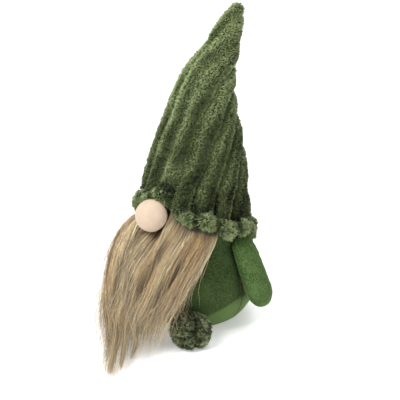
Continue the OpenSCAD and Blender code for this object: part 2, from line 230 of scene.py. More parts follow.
def hairs(name, paths, thick, tint, seed=1, sides=3, taper=None):
    """One piece of closed tapered hairs.

    paths is (hair, point, xyz), thick is one radius a hair and tint is (hair, point, colour)."""
    n, k, _ = paths.shape
    rng = np.random.default_rng(seed)
    along = unit(np.gradient(paths, axis=1))
    u = unit(np.cross(along, rng.normal(size=(n, 1, 3))))
    w = np.cross(along, u)
    t = np.linspace(0, 1, k)[:-1]
    shape = taper(t) if taper else 1 - 0.75 * t**1.5
    fat = (thick[:, None] * shape[None, :])[..., None, None]
    turn = TAU * np.arange(sides) / sides
    ring = paths[:, :-1, None] + fat * (
        np.cos(turn)[:, None] * u[:, :-1, None] + np.sin(turn)[:, None] * w[:, :-1, None])
    per = (k - 1) * sides + 1
    points = np.concatenate([ring.reshape(n, -1, 3), paths[:, -1:]], 1)
    faces = [[0, i + 1, i] for i in range(1, sides - 1)]
    for j in range(k - 2):
        for i in range(sides):
            a, b = j * sides + i, j * sides + (i + 1) % sides
            faces += [[a, b, b + sides], [a, b + sides, a + sides]]
    top = (k - 2) * sides
    faces += [[top + i, top + (i + 1) % sides, per - 1] for i in range(sides)]
    faces = (np.array(faces)[None] + (np.arange(n) * per)[:, None, None]).reshape(-1, 3)
    ob = build(name, points, faces.tolist())
    colour = np.ones((n, per, 4))
    colour[:, :-1, :3] = np.repeat(tint[:, :-1], sides, axis=1)
    colour[:, -1, :3] = tint[:, -1]
    layer = ob.data.color_attributes.new(name="tint", type="FLOAT_COLOR", domain="POINT")
    layer.data.foreach_set("color", np.clip(colour, 0, 1).ravel())
    # Each hair has a small square of the flat map to itself, root at the bottom and tip at the top.
    cells = math.ceil(math.sqrt(n))
    cell = np.stack([np.arange(n) % cells, np.arange(n) // cells], 1)[:, None]
    spot = np.empty((n, per, 2))
    spot[:, :-1, 0] = np.tile(0.2 + 0.6 * np.arange(sides) / (sides - 1), k - 1)
    spot[:, :-1, 1] = np.repeat(0.15 + 0.7 * t, sides)
    spot[:, -1] = (0.5, 0.85)
    spot = ((spot + cell) / cells).reshape(-1, 2)
    flat = ob.data.uv_layers.new(name="OFBake")
    flat.data.foreach_set("uv", spot[faces.ravel()].ravel())
    return ob


def clumps(points, size, seed):
    """The middle of the small clump that each point belongs to, and the clump's own number."""
    shaken = points + size * 0.35 * np.stack(
        [cloudy(points, size * 2.2, seed + i) for i in range(3)], -1)
    cell = np.floor(shaken / size).astype(int)
    _, which = np.unique(cell, axis=0, return_inverse=True)
    which = which.ravel()
    total = np.bincount(which)
    return np.stack([np.bincount(which, points[:, i]) / total for i in range(3)], -1)[which], which


def pile(name, ob, count, length, thick, colours, seed, weight=None, lean=None, clump=2.6, pull=0.55,
         patch=13.0, blotch=0.24, sink=0.3, shade=None, spread=0.22, uneven=0.25):
    """Short plush pile over a piece: little tufts whose tips draw together, lighter in patches. Each tuft
    is painted darker towards its root as painted shade, and the painted light and shade given in shade are
    added.
    """
    root, up, pick, share = scatter(ob, count, seed, weight)
    rng = np.random.default_rng(seed + 1)
    centre, which = clumps(root, clump, seed)
    own = np.random.default_rng(seed + 2).uniform(-1, 1, (which.max() + 1, 4))[which]
    drift = unit(np.stack([cloudy(root, 9, seed + 3 + i) for i in range(3)], -1) + 0.6 * own[:, :3])
    drift -= up * (drift * up).sum(-1, keepdims=True)
    if lean is not None:
        drift = drift + lean(root)
    tall = length * (1 + uneven * own[:, 3] + rng.uniform(-0.15, 0.15, count))[:, None]
    way = unit(up + 0.45 * drift)
    tip = root + way * tall + (centre - root) * pull
    mid = root + unit(up + 0.25 * drift) * tall * 0.55 + (centre - root) * pull * 0.2
    paths = np.stack([root - up * sink, mid, tip], 1)
    dark, main, pale = colours
    light = 0.52 + blotch * cloudy(root, patch, 9) + spread * own[:, 0] + rng.normal(0, 0.08, count)
    if shade is not None:
        light = light + (shade[pick] * share).sum(1)
    light = np.clip(light, -0.13, 1)
    body = np.where(light[:, None] < 0.5, dark + (main - dark) * light[:, None] * 2,
                    main + (pale - main) * (light[:, None] * 2 - 1))
    body = np.maximum(body, 0.004)
    paler_tip = (pale - body) * 0.3 * np.clip(light * 4, 0, 1)[:, None]
    # Each tuft is painted darker towards its root, as painted shade deep in the pile, and paler at its tip.
    tint = np.stack([body * 0.3, body * 0.75, body * 1.05 + paler_tip], 1)
    return hairs(name, paths, np.full(count, thick) * rng.uniform(0.75, 1.25, count), tint, seed,
                 taper=lambda t: 1 - 0.25 * t)


# ---------------------------------------------------------------- materials
class Paint:
    """A material made of shader nodes, written briefly."""

    def __init__(self, name, rough=0.9, sheen=0.0, sheen_tint=(1, 1, 1), sheen_rough=0.5, specular=0.3):
        self.material = bpy.data.materials.new(name)
        self.material.use_nodes = True
        self.tree = self.material.node_tree
        self.shader = self.tree.nodes["Principled BSDF"]
        for key, value in (("Roughness", rough), ("Sheen Weight", sheen), ("Sheen Roughness", sheen_rough),
                           ("Specular IOR Level", specular), ("Sheen Tint", (*sheen_tint, 1))):
            self.shader.inputs[key].default_value = value
        self.place = self.add("ShaderNodeTexCoord").outputs["Object"]

    def add(self, kind, **values):
        node = self.tree.nodes.new(kind)
        for key, value in values.items():
            if hasattr(value, "is_output"):
                self.tree.links.new(value, node.inputs[key.replace("_", " ")])
            elif key.replace("_", " ") in node.inputs:
                node.inputs[key.replace("_", " ")].default_value = value
            else:
                setattr(node, key, value)
        return node

    def noise(self, size, detail=3.0, where=None, rough=0.6, twist=0.0):
        """Cloudy grain with features about size millimetres across."""
        node = self.add("ShaderNodeTexNoise", Vector=where or self.place, Scale=1 / (size * MM),
                        Detail=detail, Roughness=rough, Distortion=twist)
        return node.outputs["Fac"]

    def read(self, name, colour=False):
        """A number or a colour that is kept on the piece's corners."""
        node = self.add("ShaderNodeAttribute", attribute_name=name)
        return node.outputs["Color" if colour else "Fac"]

    def ramp(self, value, *stops):
        """Colours or greys between stops, each a place from 0 to 1 and its colour."""
        node = self.add("ShaderNodeValToRGB", Fac=value)
        line = node.color_ramp
        while len(line.elements) < len(stops):
            line.elements.new(0.5)
        for element, (at, colour) in zip(line.elements, stops):
            element.position = at
            element.color = (*np.broadcast_to(colour, 3), 1)
        return node.outputs["Color"]

    def mix(self, share, a, b):
        """Colour a, with a share of colour b over it."""
        node = self.add("ShaderNodeMix", data_type="RGBA")
        for i, value in ((0, share), (6, a), (7, b)):
            if hasattr(value, "is_output"):
                self.tree.links.new(value, node.inputs[i])
            elif i and not isinstance(value, float):
                node.inputs[i].default_value = (*value, 1)
            else:
                node.inputs[i].default_value = value
        return node.outputs[2]

    def sums(self, how, a, b):
        node = self.add("ShaderNodeMath", operation=how)
        for i, value in ((0, a), (1, b)):
            if hasattr(value, "is_output"):
                self.tree.links.new(value, node.inputs[i])
            else:
                node.inputs[i].default_value = value
        return node.outputs[0]

    def finish(self, colour, height=None, deep=0.3, strength=0.6):
        """Joins the colour and the grain, deep millimetres high, to the shader."""
        self.tree.links.new(colour, self.shader.inputs["Base Color"])
        if height is not None:
            bump = self.add("ShaderNodeBump", Height=height, Strength=strength, Distance=deep * MM)
            self.tree.links.new(bump.outputs[0], self.shader.inputs["Normal"])
        return self.material


def velour(name, deep, main, light, band=None, bloom=0.4):
    """Short velour with a stroked nap: patches, fine speckle and a soft bloom at grazing light. A band
    colour, where given, is painted over the low part as painted reflected floor light, and creases are
    painted darker as painted shade.
    """
    p = Paint(name, rough=0.95, sheen=bloom, sheen_tint=tuple(light * 1.6), sheen_rough=0.3, specular=0.15)
    stroke = p.noise(26, 3, twist=0.6)
    speck = p.noise(1.5, 4, rough=0.75)
    colour = p.ramp(stroke, (0.3, deep), (0.5, main), (0.72, main * 0.6 + light * 0.4))
    colour = p.mix(p.ramp(speck, (0.45, 0.0), (0.66, 1.0)), colour, tuple(main * 0.25 + light * 0.75))
    colour = p.mix(p.ramp(p.noise(0.7, 2), (0.35, 0.55), (0.6, 0.0)), colour, tuple(deep * 0.7))
    if band is not None:
        # A paler band painted over the lower part: painted light, standing in for floor light reflected off
        # the nap at grazing angles.
        ragged = p.sums("MULTIPLY", p.sums("SUBTRACT", p.noise(7, 3), 0.5), 0.5)
        edge = p.sums("ADD", p.read("painted_floor_glow"), ragged)
        colour = p.mix(p.ramp(edge, (0.3, 0.0), (0.75, 0.8)), colour, tuple(band))
    # Painted shade: darker where the crease attribute marks seams and folds.
    colour = p.mix(p.read("crease"), colour, tuple(deep * 0.45))
    nap = p.sums("ADD", speck, p.sums("MULTIPLY", p.noise(5, 2), 0.8))
    return p.finish(colour, nap, 0.35, 0.7)


def plush(name, deep, main, line):
    """The knit under plush pile, paler along the lines between its ribs."""
    p = Paint(name, rough=0.95, sheen=0.25, sheen_tint=tuple(main * 1.5), specular=0.1)
    grain = p.noise(2.2, 4, rough=0.7)
    colour = p.ramp(grain, (0.35, deep * 0.6), (0.6, main))
    colour = p.mix(p.read("line"), colour, tuple(line))
    return p.finish(colour, grain, 0.8, 0.8)


def strand_paint(name, rough=0.7, sheen=0.3, specular=0.25, streak=0.25):
    """Hair whose colour runs from root to tip, with a little difference along it."""
    p = Paint(name, rough=rough, sheen=sheen, specular=specular)
    grain = p.noise(1.6, 2)
    black = (0.0, 0.0, 0.0)
    colour = p.mix(p.ramp(grain, (0.3, streak), (0.6, 0.0)), p.read("tint", True), black)
    return p.finish(colour, grain, 0.1, 0.2)


def knit(name, main, pale, pitch=0.9, rough=0.85, sheen=0.3):
    """Fine jersey: little rows of loops and soft mottling."""
    p = Paint(name, rough=rough, sheen=sheen, sheen_tint=tuple(pale), specular=0.2)
    rows, columns = (
        p.add("ShaderNodeTexWave", Vector=p.place, Scale=1 / (pitch * MM) / 6.3, Distortion=1.5,
              Detail=2.0, bands_direction=way).outputs["Fac"] for way in ("Z", "X"))
    loops = p.sums("MULTIPLY", rows, columns)
    colour = p.ramp(p.noise(9, 3), (0.35, main), (0.65, pale))
    colour = p.mix(p.ramp(loops, (0.0, 0.12), (0.5, 0.0)), colour, tuple(main * 0.6))
    # Painted shade where the crease attribute is set.
    colour = p.mix(p.read("crease"), colour, tuple(main * 0.55))
    return p.finish(colour, loops, 0.15, 0.35)


def plain(name, main, size=2.0, rough=0.85, grain=0.25, sheen=0.1):
    """A plain matte stuff with its own grain, for filling, thread, card and pellets."""
    p = Paint(name, rough=rough, sheen=sheen)
    value = p.noise(size, 4)
    return p.finish(p.ramp(value, (0.3, main * (1 - grain)), (0.7, main)), value, 0.3, 0.5)


green_deep, green_main, green_light = linear(36, 52, 22), linear(54, 72, 36), linear(92, 112, 68)
arm_deep, arm_main, arm_light = linear(44, 63, 28), linear(61, 84, 42), linear(108, 134, 80)
plush_dark, plush_main, plush_pale = linear(50, 62, 26), linear(104, 119, 70), linear(168, 184, 130)
foot_dark, foot_main, foot_pale = linear(42, 52, 24), linear(87, 99, 58), linear(172, 182, 138)
fur_dark, fur_main, fur_pale = linear(72, 57, 42), linear(176, 147, 102), linear(222, 202, 162)

# The band colour is the painted reflected floor light on the body's lower part.
body_velour = velour("body_velour", green_deep, green_main, green_light, band=linear(93, 115, 66))
arm_velour = velour("arm_velour", arm_deep, arm_main, arm_light, bloom=0.6)
hat_plush = plush("hat_plush", plush_dark, plush_main * 0.7, linear(176, 186, 118))
foot_knit = plush("foot_knit", foot_dark, foot_main * 0.7, foot_pale)
hat_pile_paint = strand_paint("hat_pile", 0.9, 0.12, 0.1)
fur_paint = strand_paint("fur", 0.5, 0.25, 0.35, 0.2)
skin_jersey = knit("skin_jersey", linear(192, 171, 150), linear(198, 179, 158))
backing_knit = knit("backing_knit", linear(120, 98, 74), linear(150, 126, 98), 1.4)
filling = plain("filling", linear(238, 236, 230), 6, 0.95, 0.12, 0.4)
thread_paint = plain("green_thread", linear(70, 92, 52), 0.8, 0.7, 0.35)
cotton_paint = plain("cotton", linear(226, 220, 206), 0.7, 0.9, 0.15)
card_paint = plain("card", linear(170, 140, 105), 1.5, 0.9, 0.2)
pellet_paint = plain("pellets", linear(190, 190, 186), 3.0, 0.5, 0.45)
foam_paint = plain("foam", linear(240, 236, 224), 1.2, 0.9, 0.15)


def dress(ob, paint, body, replaces=()):
    """Gives a finished piece its material and its body in the frame, and hides the parts that it replaces.
    """
    ob.data.materials.clear()
    ob.data.materials.append(paint)
    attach(ob, body)
    if replaces:
        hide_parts(*replaces)
    return ob


# ---------------------------------------------------------------- the gnome's main lines
nose = middle("nose_cover")
nose_low, nose_high = (np.array(v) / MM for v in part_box("nose_cover"))
nose_r = (nose_high[0] - nose_low[0]) / 2
nose[1] = nose_low[1] + nose_r
belly_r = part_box("body_front_panel")[1][0] / MM
BASE_R, BELLY_Z, NECK_R, NECK_Z, CROWN_Z = 30, 40, 47, 103, 148
BRIM_Z, BRIM_RISE, ROLL_R, BRIM_GATHER = 110.0, 22.7, 7.0, 0.8
brim_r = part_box("brim_ruffle")[1][0] / MM - ROLL_R - BRIM_GATHER
# The brim clears a nose whose middle is at this height, and climbs over a higher one by the difference.
NOSE_UNDER_BRIM = 114.1
nose_lift = nose[2] - NOSE_UNDER_BRIM
NOSE_SPREAD = 26


def body_r(z):
    """How far the body's outside is from its middle line, at a height."""
    z = np.asarray(z, float)
    low = BASE_R + (belly_r - BASE_R) * np.sqrt(np.clip(1 - ((BELLY_Z - z) / BELLY_Z) ** 2, 0, 1))
    mid = NECK_R + (belly_r - NECK_R) * (1 + np.cos(np.pi * (z - BELLY_Z) / (NECK_Z - BELLY_Z))) / 2
    top = NECK_R * np.sqrt(np.clip(1 - ((z - NECK_Z) / (CROWN_Z - NECK_Z)) ** 2, 0, 1))
    return np.where(z <= BELLY_Z, low, np.where(z <= NECK_Z, mid, top))


def wrap(a):
    """The same angle, from -180 to 180."""
    return (np.asarray(a, float) + 180) % 360 - 180


def brim_height(a):
    """The height of the brim's middle line, highest in front and lifted over the nose."""
    a = wrap(a)
    return BRIM_Z + BRIM_RISE * np.cos(np.radians(a)) + nose_lift * bell(a, NOSE_SPREAD)


def gathered(a):
    """Angles round the brim, moved a little so that its gathers are uneven."""
    return a + 3.4 * np.sin(np.radians(3 * a + 40)) + 2.2 * np.sin(np.radians(5 * a + 110))


# ---------------------------------------------------------------- body
def body_panel(name, start, end):
    """Half of the body's cover, from the base seam to the gathered crown, seamed at both sides."""
    wide, tall, low_rows = 92, 96, 0.35
    a = np.linspace(start, end, wide)[None]
    turn = np.linspace(-1, 1, wide)[None]
    t = np.linspace(0, 1, tall)[:, None]
    below = np.clip(t / low_rows, 0, 1) * np.pi / 2
    above = np.clip((t - low_rows) / (1 - low_rows), 0, 1) * np.pi / 2
    z = np.where(t < low_rows, BELLY_Z * (1 - np.cos(below)),
                 BELLY_Z + (CROWN_Z - 0.5 - BELLY_Z) * np.sin(above))
    z = np.broadcast_to(z, (tall, wide)) + 0.3
    at = polar(a, body_r(z), z)
    side = (1 - np.abs(turn)) * math.pi / 2 * body_r(z)
    pucker = bell(side, 7) * np.sin(z * 0.85 + 1.5 * np.sin(z * 0.21)) * 0.45
    dip = -0.9 * bell(side, 1.6)
    edge = 22 + 13 * soft((np.abs(wrap(a)) - 45) / 40)
    base = -0.3 * bell(z - edge, 1.3) + 0.35 * bell(z - edge + 4, 3) + 0.3 * bell(z - edge - 4, 3)
    neck = soft((z - 85) / 12) * 0.9 * np.cos(np.radians(18 * a))
    lumps = 0.8 * cloudy(at, 45, 5) + 0.25 * cloudy(at, 14, 6)
    out = body_r(z) + pucker + dip + base - neck * (z < 120) + lumps
    out = np.maximum(out, np.where(z < 60, body_r(z) - 0.6, 3.5))
    ob = open_grid(name, polar(a, out, z), tall, wide)
    # Painted shade along the side seams, and faintly along the edge of the lower band.
    note(ob, "crease", np.clip(bell(side, 1.0) * 0.5 + bell(z - edge, 0.9) * 0.1, 0, 1))
    # Where the body's lower part takes the painted reflected floor light.
    note(ob, "painted_floor_glow", soft((edge - z) / 8 + 0.5))
    outward_open(ob)
    apply(ob, "SOLIDIFY", thickness=1.4 * MM, offset=-1, use_rim=True)
    return ob


def outward_open(ob):
    """Turns an open piece so that its faces look away from the gnome's middle line."""
    me = ob.data
    first = me.polygons[len(me.polygons) // 2]
    if first.normal.xy.dot(first.center.xy) < 0:
        wake(ob)
        bpy.ops.object.mode_set(mode="EDIT")
        bpy.ops.mesh.select_all(action="SELECT")
        bpy.ops.mesh.flip_normals()
        bpy.ops.object.mode_set(mode="OBJECT")


body_front = body_panel("body_front", -90, 90)
body_back = body_panel("body_back", 90, 270)
dress(body_front, body_velour, "torso", ["body_front_panel"])
dress(body_back, body_velour, "torso", ["body_back_panel"])

bpy.ops.mesh.primitive_cylinder_add(
    vertices=96, radius=BASE_R * MM, depth=1.4 * MM, location=(0, 0, 0.8 * MM))
body_base = bpy.context.object
body_base.name = "body_base"
bake_turn(body_base)
apply(body_base, "BEVEL", width=0.5 * MM, segments=3)
dress(body_base, body_velour, "torso", ["base_panel"])


# ---------------------------------------------------------------- hat
HAT_L, HAT_TIP, HAT_R = 208.0, 7.0, 52.0
HAT_Z = BRIM_Z + 5.74
HAT_LEAN_LOW, HAT_LEAN_MORE = 5, 35
HAT_TIP_SHARE = 0.03
# The ribs' width on the flat pattern, and how far the first line lies from the pattern's middle.
RIB, RIB_FROM = 19.5, -1.8
# The middle of the pattern, towards the gnome's right front.
PATTERN_MIDDLE = -50
fine = np.linspace(0, 1, 600)


def hat_lean(t):
    """How far the hat leans back, low and above its bend."""
    return HAT_LEAN_LOW + HAT_LEAN_MORE * soft((t - 0.48) / 0.26)


def hat_line(slope):
    """How far the hat's middle line has run, where slope is its run at each of the fine steps."""
    return np.concatenate([[0], np.cumsum((slope[1:] + slope[:-1]) / 2)]) * HAT_L / (len(fine) - 1)


fine_lean = np.radians(hat_lean(fine))
line_y = hat_line(np.sin(fine_lean))
line_z = hat_line(np.cos(fine_lean)) + HAT_Z


def hat_radius(t):
    return HAT_TIP + (HAT_R - HAT_TIP) * (1 - t**1.5)


def hat_at(a, s, out=0.0):
    """A place on the hat at angle a, with s from 0 at the brim to 1.03 at the very tip."""
    a, s, out = np.broadcast_arrays(np.asarray(a, float), s, out)
    t = np.clip(s, 0, 1)
    over = np.clip((s - 1) / HAT_TIP_SHARE, 0, 1)
    lean = np.radians(hat_lean(t))
    r = hat_radius(t) * np.sqrt(1 - over**2) + out * (1 - over**2)
    y0 = np.interp(t, fine, line_y) + np.sin(lean) * HAT_TIP * over
    z0 = np.interp(t, fine, line_z) + np.cos(lean) * HAT_TIP * over + np.minimum(s, 0) * HAT_L
    low = np.clip(1 - t / 0.3, 0, 1)
    slope = BRIM_RISE / HAT_R * low + np.tan(lean) * (1 - low)
    depth = low + np.cos(lean) * (1 - low)
    y = r * np.cos(np.radians(a)) * depth
    lift = nose_lift * bell(wrap(a), NOSE_SPREAD) * np.clip(1 - t / 0.15, 0, 1)
    return np.stack([r * np.sin(np.radians(a)), y0 - y, z0 + y * slope + lift], -1)


def rib_place(a, s):
    """How far a place lies across the hat's flat pattern, and how far it is from the back seam."""
    t = np.clip(s, 0, 1)
    r = hat_radius(t)
    far = HAT_L * (1 - t) + 25
    across = np.radians(wrap(np.asarray(a, float) - PATTERN_MIDDLE))
    return far * np.sin(across * r / far), np.abs(np.abs(across) - np.pi) * r


def rib_gap(x):
    """Distance to the nearest line between two ribs."""
    return np.abs((x / RIB - RIB_FROM / RIB + 0.5) % 1 - 0.5) * RIB


wide, tall, tip_rows = 224, 150, 8
hat_foot = -0.022
a = (np.arange(wide) * 360 / wide)[None]
tip_turn = np.linspace(0.18, 1.45, tip_rows)
s = np.concatenate([np.linspace(hat_foot, 1, tall - tip_rows), 1 + HAT_TIP_SHARE * np.sin(tip_turn)])
s = s[:, None]
a2, s2 = np.broadcast_arrays(a, s)
plain_hat = hat_at(a2, s2)
x, from_seam = rib_place(a2, s2)
x = x + 0.7 * cloudy(plain_hat, 30, 21)
gap = rib_gap(x)
size = np.clip(1.25 - s2 * 0.65, 0.3, 1.1)
phase = (x / RIB - RIB_FROM / RIB) % 1
ribs = -3.6 * size * bell(gap, 2.2) + 3.0 * size * np.sin(np.pi * phase) ** 0.8
seam = -2.2 * size * bell(from_seam, 2.2)
# Folds across the back, where the hat bends. Each is how far it stands out, how far up the hat it is,
# its height, and the angle and width of the stretch that it crosses.
back_folds = ((-3.2, 0.62, 0.022, 165, 42), (1.6, 0.575, 0.02, 165, 40),
              (-2.2, 0.72, 0.02, 150, 34), (-1.3, 0.52, 0.02, 190, 30))
pinch = sum(deep * bell(s2 - up, high) * bell(wrap(a2 - turn), spread)
            for deep, up, high, turn, spread in back_folds)
lumps = 1.1 * cloudy(plain_hat * (1, 1, 0.7), 46, 22) * np.clip(1.1 - s2, 0.2, 1)
valley = 1 - np.abs(np.sin(np.radians(8 * gathered(a2) + 35))) ** 0.8
gathers = np.clip(1 - s2 / 0.17, 0, 1) * (1.4 - 5.2 * valley)
knobs = 0.55 * cloudy(plain_hat, 6.5, 25)
upper = soft((s2 - 0.55) / 0.1) * soft((1 - s2) / 0.06)
crease = -1.8 * bell(wrap(a2 + 30 + 22 * (s2 - 0.8)), 9) * upper
from_middle = wrap(a2 - PATTERN_MIDDLE)
slim = (-5.4 * bell(from_middle, 80) * bell(s2 - 0.58, 0.2) + 1.4 * soft((s2 - 0.45) / 0.2)
        - (1.0 + 3.8 * bell(from_middle, 90)) * bell(s2 - 0.79, 0.15))
hem = 4.6 * soft(-s2 / 0.02)
out = -2.9 + knobs + ribs + seam + pinch + lumps + gathers + crease + slim + hem
out = out * (1 - 0.75 * soft((s2 - 0.8) / 0.2))
outer = hat_at(a2, s2, out)
lining_rows = 14
inner_s = np.linspace(0.93, hat_foot, lining_rows)[:, None]
lining_out = np.interp(inner_s, s[:, 0], out.mean(1)) - 5.0 * np.clip(1.1 - inner_s, 0.3, 1)
inner = hat_at(*np.broadcast_arrays(a, inner_s), lining_out)
inner[-1] = hat_at(a, -0.02, out[0] - 4.0)[0]
hat = skin("hat", np.concatenate([inner, outer]))


def on_hat(values, tip=0):
    """One number for each corner of the hat, and none on its lining."""
    return np.concatenate([np.zeros(inner[..., 0].size), values.ravel(), [0, tip]])


note(hat, "line", on_hat(np.clip(bell(gap, 2.0) * np.clip(1.4 - s2, 0.4, 1), 0, 1)))
# Each rib is painted darker on one flank and paler on the other: painted shade and painted light, as if lit
# from one side.
rib_side_light = (-0.36 * np.sin(TAU * (phase - 0.42)) - 0.62 * bell(phase - 0.11, 0.09)
         + 0.42 * bell(phase - 0.91, 0.08))
# Random patches, painted shade in the valleys of the gathers above the brim, paler towards the top and
# darker towards the brim.
patches_and_valley_shade = (0.42 * soft((s2 - 0.34) / 0.3) - 1.1 * valley**1.5 * soft((0.17 - s2) / 0.12)
          + 0.16 * cloudy(np.stack([x, s2 * 60, s2 * 0], -1), 15, 24) - 0.18 * soft((0.3 - s2) / 0.3))
hat_shade = on_hat(rib_side_light * np.clip(1.25 - s2 * 0.6, 0, 1) + patches_and_valley_shade)
# Pile grows on the ribs, hardly at all on the lines between them, and thinly on the seam.
crown = on_hat(np.clip(1 - bell(gap, 2.5) * 1.02, 0.004, 1) * (1 - 0.6 * bell(from_seam, 1.5)), 1)
dress(hat, hat_plush, "torso", ["hat_shell"])

hat_colours = plush_dark, plush_main, plush_pale
for number in range(3):
    tufts = pile("hat_pile_%d" % (number + 1), hat, 17500, 3.1, 0.44, hat_colours, 40 + number * 17,
                 weight=lambda p, tri: crown[tri].mean(1), lean=lambda p: np.array([0, 0, -0.4]),
                 clump=2.6, pull=0.66, shade=hat_shade, patch=22.0, blotch=0.12, spread=0.17, uneven=0.36)
    dress(tufts, hat_pile_paint, "torso")


# ---------------------------------------------------------------- ruffle
wide, tall = 360, 30
a = (np.arange(wide) * 360 / wide)[:, None]
b = (np.arange(tall) * 360 / tall)[None]
bent = gathered(a)
petal = np.abs(np.sin(np.radians(8 * bent + 35))) ** 0.6
lift = bell(wrap(a), NOSE_SPREAD)
fat = (ROLL_R * (1 - 0.2 * lift) - 2.5) * (0.32 + 0.8 * petal)
waves = 2.4 * np.sin(np.radians(8 * bent + 20)) * (1 - 0.4 * lift)
ring = polar(a, brim_r + 2.4 * petal - 4.8 + fat * np.cos(np.radians(b)) * 0.92,
             brim_height(a) - 2.0 + waves + fat * np.sin(np.radians(b)) * (0.95 + 0.25 * petal))
ring = ring + 0.7 * np.stack([cloudy(ring, 8, 60 + i) for i in range(3)], -1)
spots = np.arange(wide * tall).reshape(wide, tall)
next_round, next_up = np.roll(spots, -1, 0), np.roll(spots, -1, 1)
ring_faces = np.stack([spots, next_up, np.roll(next_up, -1, 0), next_round], -1).reshape(-1, 4)
ruffle = build("brim_ruffle_cloth", ring, ring_faces.tolist())
outward(ruffle)
note(ruffle, "line", np.zeros(wide * tall))
dress(ruffle, hat_plush, "torso", ["brim_ruffle", "brim_gather_cord"])
petal_at = np.broadcast_to(petal, (wide, tall)).ravel()
# Painted shade in the pinches between the ruffle's folds, and paler over the middle of each fold.
ruffle_shade = 1.5 * (petal_at - 0.74)


def from_petal(p):
    """Pile on the ruffle fans out from the middle of its own fold."""
    ang = np.degrees(np.arctan2(p[:, 0], -p[:, 1]))
    side = ((8 * gathered(ang) + 35) % 180 - 90) / 90
    t = np.radians(ang)
    round_way = np.stack([np.cos(t), np.sin(t), np.zeros_like(t)], -1)
    high = (p[:, 2] - brim_height(ang)) / ROLL_R
    return round_way * side[:, None] * 1.5 + np.array([0, 0, 1.0]) * (high * 0.9 - 0.25)[:, None]


for number in range(2):
    tufts = pile("ruffle_pile_%d" % (number + 1), ruffle, 10000, 4.5, 0.44, hat_colours,
                 101 + number * 13, weight=lambda p, tri: 0.1 + petal_at[tri].mean(1) ** 2, lean=from_petal,
                 clump=3.0, pull=0.82, shade=ruffle_shade, patch=26.0, blotch=0.14, spread=0.34, uneven=0.4)
    dress(tufts, hat_pile_paint, "torso")


# ---------------------------------------------------------------- nose
nose_ball = ball("nose_jersey", 72, 44, radius=nose_r * MM, location=tuple(nose * MM),
                 rotation=(math.pi / 2, 0, 0))
p = corners(nose_ball)
from_mid = p - nose
back = soft((from_mid[:, 1] / nose_r - 0.35) / 0.6)
turn = np.arctan2(from_mid[:, 0], from_mid[:, 2])
gathers = 0.5 + 0.5 * np.cos(turn * 14)
p = nose + from_mid * ((1 - 0.05 * back * gathers) * (1 + 0.008 * cloudy(p, 15, 7)))[:, None]
p[:, 1] += soft((from_mid[:, 1] / nose_r - 0.9) / 0.1) * 3.0
place(nose_ball, p)
# Painted shade in the gathers at the back of the nose.
note(nose_ball, "crease", back * 0.35 * gathers)
dress(nose_ball, skin_jersey, "torso", ["nose_cover"])


# ---------------------------------------------------------------- arms
ARM_LENGTH, ARM_HALF, ARM_THICK = 68.5, 15.5, 10.5
ARM_OUT = math.radians(23.9)


def arm_cover(name, side):
    """A flat teardrop cover with a seam right round its edge, hung from the shoulder."""
    ob = ball(name, 80, 80, radius=1)
    v = corners(ob) * MM
    # t runs from 0 at the sewn top to 1 at the end of the hand, and b goes round the arm.
    t = np.arccos(np.clip(v[:, 2], -1, 1)) / np.pi
    b = np.arctan2(v[:, 1], v[:, 0])
    full = np.sqrt(np.clip(1 - np.clip((0.13 - t) / 0.13, 0, 1) ** 2, 0, 1)) * np.sqrt(
        np.clip(1 - np.clip((t - 0.72) / 0.28, 0, 1) ** 2.3, 0, 1))
    w = (ARM_HALF - 3 * (1 - t) ** 3) * full
    d = (ARM_THICK - 6.5 * (1 - t) ** 4) * full
    seam = bell(np.abs(np.sin(b)) - 1, 0.012)
    along = ARM_LENGTH * t - 7.0 * (1 - t) ** 2
    trim = 1 - 0.02 * seam
    across = d * np.cos(b) * trim
    fore = w * np.sin(b) * trim
    pucker = 0.35 * bell(np.abs(np.sin(b)) - 1, 0.12) * np.sin(along * 0.9) * full
    c, s = math.cos(ARM_OUT), math.sin(ARM_OUT)
    p = np.stack([(across + pucker * np.sign(np.cos(b))) * c + along * s, fore,
                  across * s - along * c], -1) + shoulder
    lump = (0.45 * cloudy(p, 22, 31) + 0.15 * cloudy(p, 8, 32)) * np.minimum(full, 1)
    flat = across / np.maximum(d, 0.1)
    p += unit(np.stack([flat * c, fore / np.maximum(w, 0.1), flat * s], -1)) * lump[:, None]
    p[:, 0] -= 2.8 * (1 - t) ** 1.5
    if side < 0:
        p[:, 0] *= -1
    place(ob, p)
    outward(ob)
    # Painted shade along the seam round the arm's edge.
    note(ob, "crease", np.clip(seam * 0.22 * (full > 0.2), 0, 1))
    return ob


joints = {j["name"]: j for j in frame["record"]["behaviour"]["joints"]}
shoulder = np.array(joints["left_arm_lift"]["pos_m"]) / MM
for side, sign in (("left", 1), ("right", -1)):
    arm = arm_cover(side + "_arm_cover", sign)
    dress(arm, arm_velour, side + "_arm", [side + "_arm_shell"])


